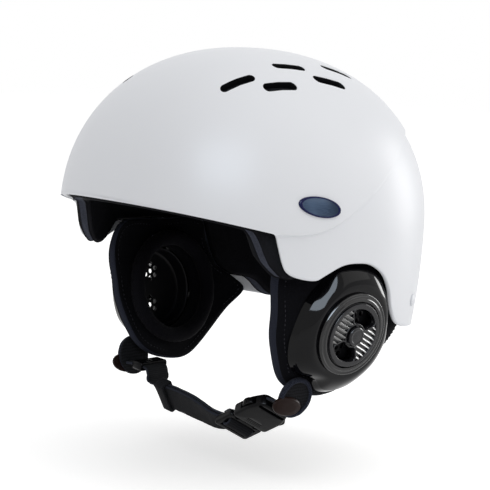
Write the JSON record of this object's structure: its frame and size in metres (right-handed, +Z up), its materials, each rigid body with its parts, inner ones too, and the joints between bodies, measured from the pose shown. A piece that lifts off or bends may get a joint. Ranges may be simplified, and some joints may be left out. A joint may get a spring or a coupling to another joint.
{
  "type": "water sports helmet",
  "caption": "Hard shell helmet for water sports with a raised cap, crown vents, foam liner, padded ear flaps with turning vent dials, and a chin strap with a side release buckle",
  "frame": {"origin": "Middle of the head at the shell's widest level, where the head holds the helmet", "axes": "+Z up through the crown, -Y the way that the wearer faces, +X to the wearer's left"},
  "size_m": [0.2114, 0.2335, 0.2495],
  "materials": {
    "white_shell": "gloss white moulded shell",
    "liner_foam": "matt closed-cell foam",
    "pad_fabric": "black knitted comfort fabric",
    "flap_fabric": "matt black laminated fabric",
    "gloss_black": "gloss black",
    "dark_plastic": "matt black",
    "dial_grey": "satin dark grey",
    "badge_blue": "domed silver blue with a navy rim",
    "webbing": "woven black webbing",
    "buckle_plastic": "satin black moulded plastic"
  },
  "bodies": {
    "helmet": {"outer_shell": "white_shell", "foam_liner": "liner_foam", "brow_pad": "pad_fabric", "crown_pad": "pad_fabric", "nape_pad": "pad_fabric", "left_side_pad": "pad_fabric", "right_side_pad": "pad_fabric", "left_ear_flap": "flap_fabric", "right_ear_flap": "flap_fabric", "left_ear_cover": "gloss_black", "right_ear_cover": "gloss_black", "left_ear_cup": "dark_plastic", "right_ear_cup": "dark_plastic", "left_ring_pad": "pad_fabric", "right_ring_pad": "pad_fabric", "left_vent_bezel": "dial_grey", "right_vent_bezel": "dial_grey", "left_hub_pin": "dial_grey", "right_hub_pin": "dial_grey", "left_badge": "badge_blue", "right_badge": "badge_blue", "shell_rivets": "white_shell", "left_strap_tab": "webbing", "right_strap_tab": "webbing"},
    "left_dial": {"left_vent_dial": "dial_grey"},
    "right_dial": {"right_vent_dial": "dial_grey"},
    "chin_strap": {"short_webbing": "webbing", "chin_webbing": "webbing", "buckle_housing": "buckle_plastic"},
    "adjuster": {"strap_adjuster": "buckle_plastic"},
    "keeper": {"strap_keeper": "webbing"},
    "tongue": {"buckle_tongue": "buckle_plastic"},
    "front_arm": {"front_prong": "buckle_plastic"},
    "rear_arm": {"rear_prong": "buckle_plastic"}
  },
  "joints": [
    {"name": "left_dial_turn", "type": "hinge", "parent": "helmet", "child": "left_dial", "pos_m": [0.0969, 0.0043, -0.0607], "axis": [0.9797, -0.0616, -0.1908], "range_deg": [0, 90]},
    {"name": "right_dial_turn", "type": "hinge", "parent": "helmet", "child": "right_dial", "pos_m": [-0.0969, 0.0043, -0.0607], "axis": [-0.9797, -0.0616, -0.1908], "range_deg": [0, 90]},
    {"name": "strap_swing", "type": "hinge", "parent": "helmet", "child": "chin_strap", "pos_m": [0, -0.0211, -0.104], "axis": [1, 0, 0], "range_deg": [-50, 5]},
    {"name": "adjuster_slide", "type": "slide", "parent": "chin_strap", "child": "adjuster", "axis": [-0.9993, 0, 0.0375], "range_m": [-0.002, 0.002]},
    {"name": "keeper_slide", "type": "slide", "parent": "chin_strap", "child": "keeper", "axis": [0.9921, 0, -0.1256], "range_m": [0, 0.004]},
    {"name": "buckle_release", "type": "slide", "parent": "chin_strap", "child": "tongue", "axis": [-0.8704, 0, -0.4924], "range_m": [0, 0.024], "deforming": ["chin_webbing", "front_prong", "rear_prong"]},
    {"name": "front_prong_press", "type": "hinge", "parent": "tongue", "child": "front_arm", "pos_m": [0.03416, -0.0269, -0.12009], "axis": [-0.4034, 0.5736, 0.713], "range_deg": [0, 8], "stiffness_Nm_per_rad": 0.3},
    {"name": "rear_prong_press", "type": "hinge", "parent": "tongue", "child": "rear_arm", "pos_m": [0.03817, -0.01527, -0.12718], "axis": [0.4034, -0.5736, -0.713], "range_deg": [0, 8], "stiffness_Nm_per_rad": 0.3}
  ]
}
